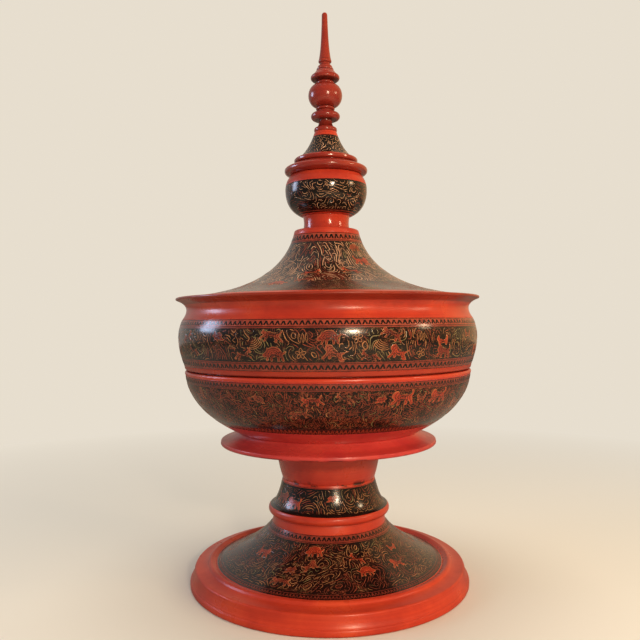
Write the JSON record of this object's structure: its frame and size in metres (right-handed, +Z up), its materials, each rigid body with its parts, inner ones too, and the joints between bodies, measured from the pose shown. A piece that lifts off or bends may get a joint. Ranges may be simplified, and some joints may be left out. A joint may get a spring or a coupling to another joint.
{
  "type": "tiered offering vessel",
  "caption": "Footed round food vessel with a nesting tray, a concave conical lid and a turned spire, red and black lacquer with incised ornament; tiers lift apart",
  "frame": {"origin": "centre of the underside of the foot", "axes": "+Z up along the turning axis towards the tip of the finial; X and Y are free because the object is turned"},
  "size_m": [0.3268, 0.3268, 0.6195],
  "materials": {
    "red_lacquer": "polished cinnabar red lacquer",
    "black_yun_lacquer": "polished black lacquer with incised red, ochre and green ornament",
    "bare_wood": "bare turned wood"
  },
  "bodies": {
    "stand": {"foot_ring": "red_lacquer", "foot_cone": "black_yun_lacquer", "stem_collar": "red_lacquer", "stem_ring": "red_lacquer", "stem_drum": "black_yun_lacquer", "stem_plate": "bare_wood"},
    "bowl": {"bowl_neck": "red_lacquer", "bowl_skirt": "red_lacquer", "bowl_shell": "black_yun_lacquer", "bowl_floor": "red_lacquer", "bowl_lip": "red_lacquer"},
    "tray": {"tray_spigot": "red_lacquer", "tray_hoop": "red_lacquer", "tray_floor": "red_lacquer", "tray_shell": "black_yun_lacquer", "tray_brim": "red_lacquer"},
    "lid": {"lid_flange": "red_lacquer", "lid_edge": "red_lacquer", "lid_roof": "black_yun_lacquer", "lid_crown": "red_lacquer"},
    "spire": {"spire_dowel": "bare_wood", "spire_neck": "red_lacquer", "spire_bulb": "black_yun_lacquer", "spire_ring_large": "red_lacquer", "spire_ring_small": "red_lacquer", "spire_cap": "black_yun_lacquer"},
    "finial": {"finial_base": "red_lacquer", "finial_bulb": "red_lacquer", "finial_umbrella": "red_lacquer", "finial_spike": "red_lacquer"}
  },
  "joints": [
    {"name": "bowl_lift", "type": "slide", "parent": "stand", "child": "bowl", "axis": [0, 0, 1], "range_m": [0, 0.12]},
    {"name": "tray_lift", "type": "slide", "parent": "bowl", "child": "tray", "axis": [0, 0, 1], "range_m": [0, 0.14]},
    {"name": "lid_lift", "type": "slide", "parent": "tray", "child": "lid", "axis": [0, 0, 1], "range_m": [0, 0.16]},
    {"name": "spire_lift", "type": "slide", "parent": "lid", "child": "spire", "axis": [0, 0, 1], "range_m": [0, 0.08]},
    {"name": "finial_lift", "type": "slide", "parent": "spire", "child": "finial", "axis": [0, 0, 1], "range_m": [0, 0.05]}
  ]
}
